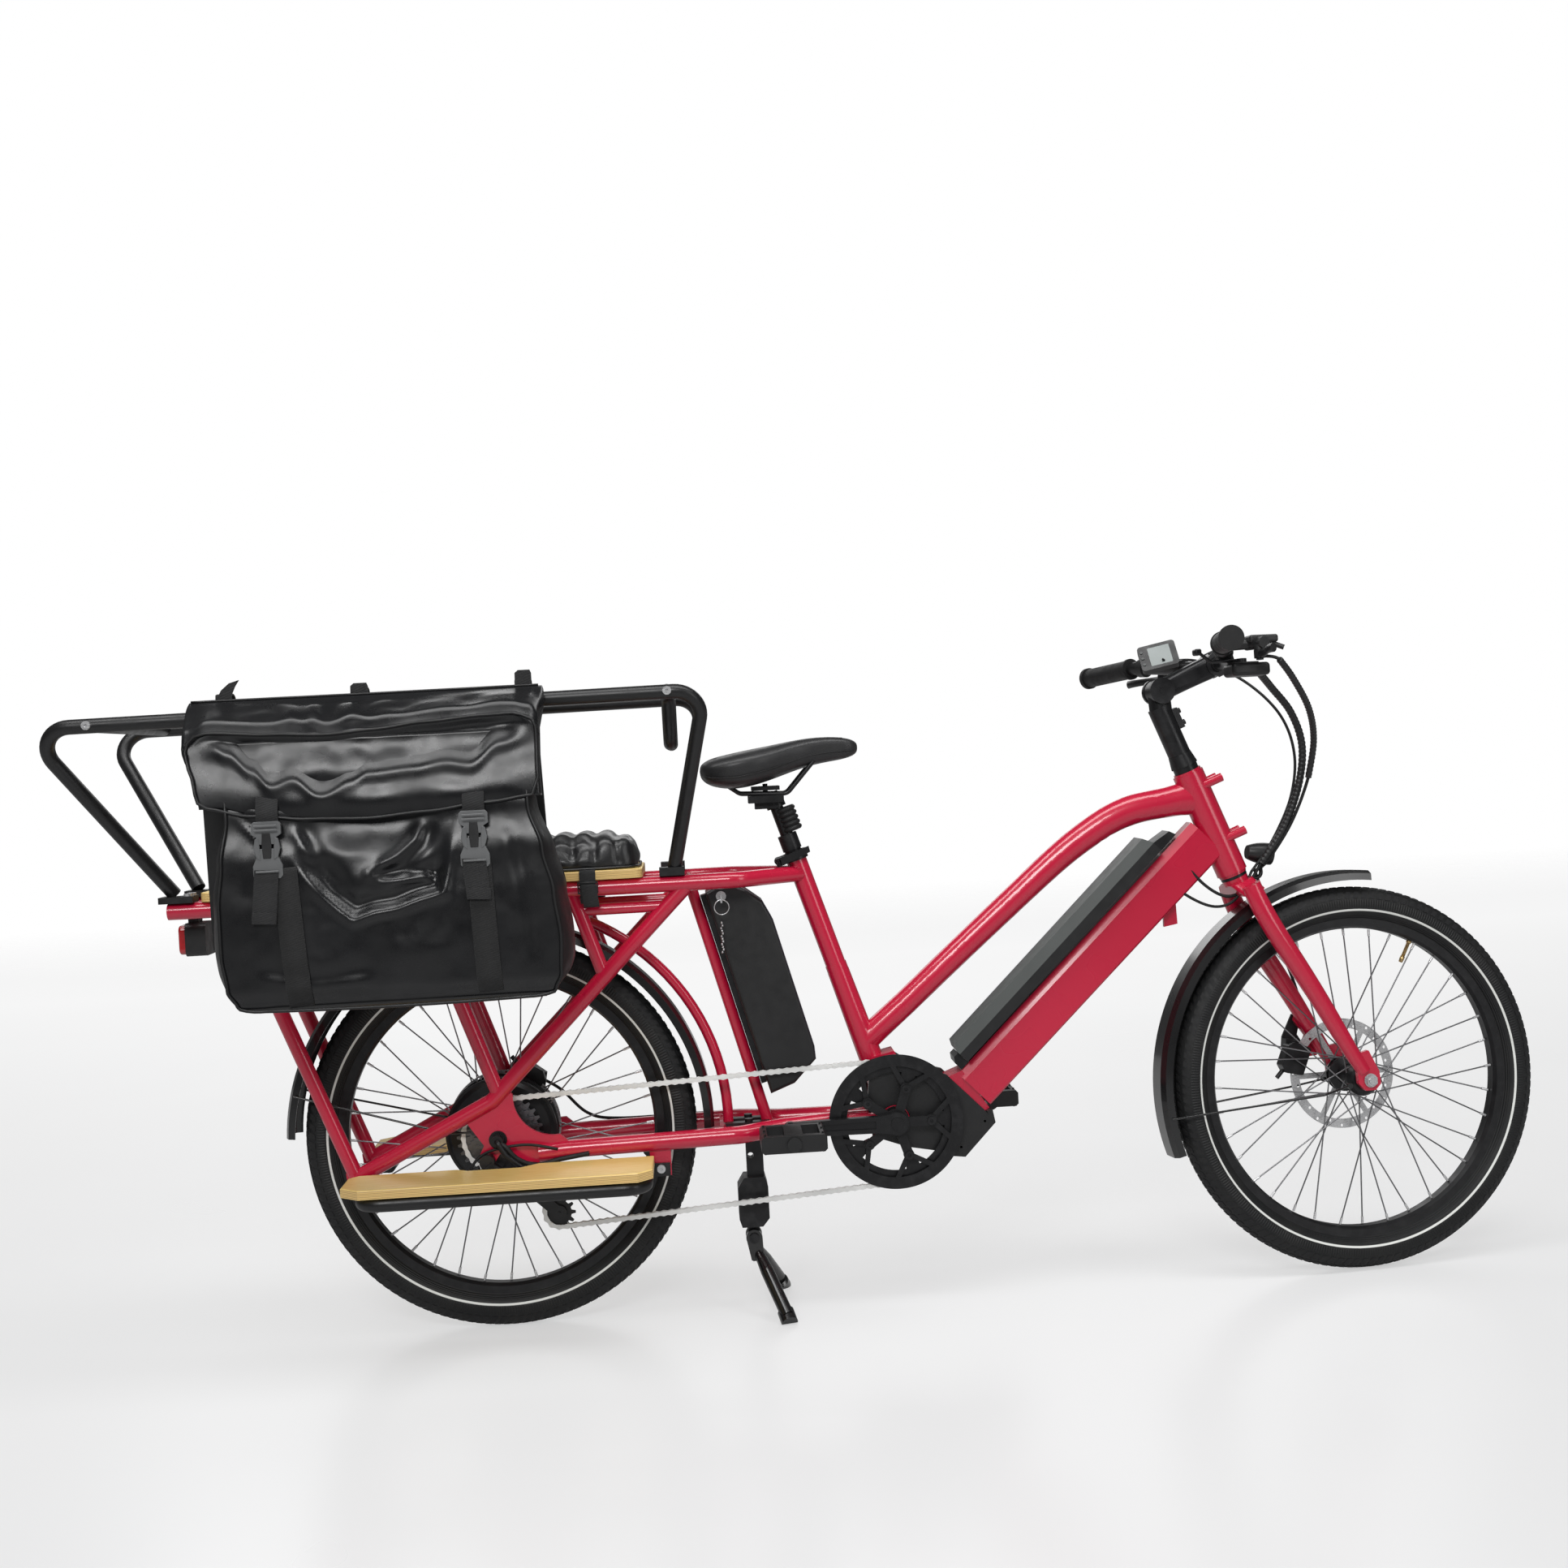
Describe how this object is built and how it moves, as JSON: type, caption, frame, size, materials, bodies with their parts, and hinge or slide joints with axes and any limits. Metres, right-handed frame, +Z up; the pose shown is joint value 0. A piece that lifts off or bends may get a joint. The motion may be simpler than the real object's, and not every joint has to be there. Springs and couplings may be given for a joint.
{
  "type": "electric cargo bicycle",
  "caption": "Long wheelbase electric cargo bicycle with a welded step-through frame, rear deck with side rails, running boards, twin-leg stand and a side bag.",
  "frame": {"origin": "point where the rear tyre meets the ground, in the frame's middle plane", "axes": "+X forward along the ground, +Y to the rider's left, +Z up"},
  "size_m": [2.3091, 0.6797, 1.0362],
  "materials": {
    "crimson_paint": "gloss red paint",
    "black_paint": "satin black paint",
    "black_anodised": "black anodised",
    "silver_alloy": "brushed",
    "steel": "brushed",
    "tyre_rubber": "matte",
    "black_rubber": "matte",
    "black_plastic": "satin",
    "gloss_black_plastic": "gloss",
    "grey_plastic": "satin",
    "bamboo_ply": "lacquered light ply",
    "vinyl": "black vinyl over foam",
    "tarpaulin": "black coated fabric",
    "webbing": "woven strap"
  },
  "bodies": {
    "frame": {"frame": "crimson_paint", "bearing_cups": "black_anodised", "controller_cover": "black_plastic", "deck_board": "bamboo_ply", "passenger_pad": "vinyl", "pad_strap": "webbing", "passenger_rails": "black_paint", "running_boards": "bamboo_ply", "board_supports": "black_paint", "battery_mounts": "black_plastic", "rear_fender": "gloss_black_plastic", "kickstand_bracket": "black_paint", "rear_light": "gloss_black_plastic", "pannier_bag": "tarpaulin", "chain": "steel", "rear_axle": "steel", "rear_derailleur": "black_anodised", "rear_caliper": "black_anodised", "seat_clamp": "black_anodised", "button_bolts": "steel"},
    "rear_wheel": {"rear_tyre": "tyre_rubber", "rear_rim": "black_anodised", "rear_spokes": "steel", "hub_motor": "black_anodised"},
    "cassette": {"cassette": "steel"},
    "crank": {"chainring": "black_anodised", "crank_arms": "black_anodised"},
    "pedal_right": {"pedal_right": "black_plastic"},
    "pedal_left": {"pedal_left": "black_plastic"},
    "kickstand": {"kickstand_legs": "black_paint"},
    "seatpost": {"seatpost": "black_anodised", "seatpost_boot": "black_rubber"},
    "saddle": {"saddle_clamp": "black_anodised", "saddle": "vinyl"},
    "seat_clamp_lever": {"seat_clamp_lever": "black_anodised"},
    "steering": {"fork": "crimson_paint", "stem_post": "black_anodised", "front_axle": "steel", "front_fender": "gloss_black_plastic", "front_caliper": "black_anodised", "headlight": "gloss_black_plastic"},
    "front_wheel": {"front_tyre": "tyre_rubber", "front_rim": "black_anodised", "front_spokes": "steel", "front_hub": "black_anodised"},
    "handlebar": {"stem_arm": "black_anodised", "handlebar": "black_anodised", "grips": "black_rubber", "bar_controls": "black_plastic", "display": "grey_plastic"},
    "brake_lever_right": {"brake_lever_right": "black_anodised"},
    "brake_lever_left": {"brake_lever_left": "black_anodised"},
    "shift_lever": {"shift_lever": "black_plastic"},
    "display_button_up": {"display_button_up": "grey_plastic"},
    "display_button_mode": {"display_button_mode": "grey_plastic"},
    "display_button_down": {"display_button_down": "grey_plastic"},
    "rear_battery": {"rear_battery": "black_plastic"},
    "battery_key": {"battery_key": "steel"},
    "downtube_battery": {"downtube_battery": "grey_plastic"},
    "bag_lid": {"bag_lid": "tarpaulin"}
  },
  "joints": [
    {"name": "rear_wheel_spin", "type": "hinge", "parent": "frame", "child": "rear_wheel", "pos_m": [0, 0, 0.308], "axis": [0, 1, 0], "continuous": true},
    {"name": "cassette_spin", "type": "hinge", "parent": "frame", "child": "cassette", "pos_m": [0, 0, 0.308], "axis": [0, 1, 0], "continuous": true},
    {"name": "crank_spin", "type": "hinge", "parent": "frame", "child": "crank", "pos_m": [0.623, 0, 0.292], "axis": [0, 1, 0], "continuous": true},
    {"name": "pedal_right_spin", "type": "hinge", "parent": "crank", "child": "pedal_right", "pos_m": [0.455, -0.127, 0.292], "axis": [0, 1, 0], "continuous": true},
    {"name": "pedal_left_spin", "type": "hinge", "parent": "crank", "child": "pedal_left", "pos_m": [0.791, 0.127, 0.292], "axis": [0, 1, 0], "continuous": true},
    {"name": "kickstand_fold", "type": "hinge", "parent": "frame", "child": "kickstand", "pos_m": [0.39, 0, 0.114], "axis": [0, 1, 0], "range_deg": [0, 105]},
    {"name": "seat_height", "type": "slide", "parent": "frame", "child": "seatpost", "axis": [-0.3024, 0, 0.9532], "range_m": [0, 0.15]},
    {"name": "seat_suspension", "type": "slide", "parent": "seatpost", "child": "saddle", "axis": [-0.3024, 0, 0.9532], "range_m": [-0.025, 0], "deforming": ["seatpost_boot"]},
    {"name": "seat_clamp_release", "type": "hinge", "parent": "frame", "child": "seat_clamp_lever", "pos_m": [0.46195, -0.0165, 0.71039], "axis": [0.3024, 0, -0.9532], "range_deg": [0, 78]},
    {"name": "steer", "type": "hinge", "parent": "frame", "child": "steering", "pos_m": [1.1285, 0, 0.8196], "axis": [-0.3649, 0, 0.9311], "range_deg": [-67, 53]},
    {"name": "front_wheel_spin", "type": "hinge", "parent": "steering", "child": "front_wheel", "pos_m": [1.37967, 0.00579, 0.30787], "axis": [-0.1135, 0.9925, -0.0445], "continuous": true},
    {"name": "stem_angle", "type": "hinge", "parent": "steering", "child": "handlebar", "pos_m": [1.08892, 0.00132, 0.94997], "axis": [0.1135, -0.9925, 0.0445], "range_deg": [-5, 35]},
    {"name": "brake_pull_right", "type": "hinge", "parent": "handlebar", "child": "brake_lever_right", "pos_m": [1.19831, -0.18874, 0.99374], "axis": [0.0025, -0.0445, -0.999], "range_deg": [0, 18]},
    {"name": "brake_pull_left", "type": "hinge", "parent": "handlebar", "child": "brake_lever_left", "pos_m": [1.15224, 0.21423, 0.97569], "axis": [-0.0025, 0.0445, 0.999], "range_deg": [0, 18]},
    {"name": "shift_push", "type": "hinge", "parent": "handlebar", "child": "shift_lever", "pos_m": [1.18458, -0.13921, 0.9875], "axis": [0.0025, -0.0445, -0.999], "range_deg": [0, 15]},
    {"name": "press_up", "type": "slide", "parent": "handlebar", "child": "display_button_up", "axis": [0.2591, 0.8153, -0.5178], "range_m": [0, 0.0008]},
    {"name": "press_mode", "type": "slide", "parent": "handlebar", "child": "display_button_mode", "axis": [0.2591, 0.8153, -0.5178], "range_m": [0, 0.0008]},
    {"name": "press_down", "type": "slide", "parent": "handlebar", "child": "display_button_down", "axis": [0.2591, 0.8153, -0.5178], "range_m": [0, 0.0008]},
    {"name": "rear_battery_lift", "type": "slide", "parent": "frame", "child": "rear_battery", "axis": [-0.2596, 0, 0.9657], "range_m": [0, 0.008]},
    {"name": "battery_key_turn", "type": "hinge", "parent": "rear_battery", "child": "battery_key", "pos_m": [0.36572, -0.036, 0.66298], "axis": [0, 1, 0], "range_deg": [0, 90]},
    {"name": "downtube_battery_tilt", "type": "hinge", "parent": "frame", "child": "downtube_battery", "pos_m": [0.74307, 0, 0.37794], "axis": [0, -1, 0], "range_deg": [0, 3]},
    {"name": "bag_lid_swing", "type": "hinge", "parent": "frame", "child": "bag_lid", "pos_m": [-0.14, -0.217, 1.0015], "axis": [-1, 0, 0], "range_deg": [0, 90]}
  ],
  "couplings": [
    {"joint": "cassette_spin", "follows": "crank_spin", "ratio": 1.7143}
  ]
}
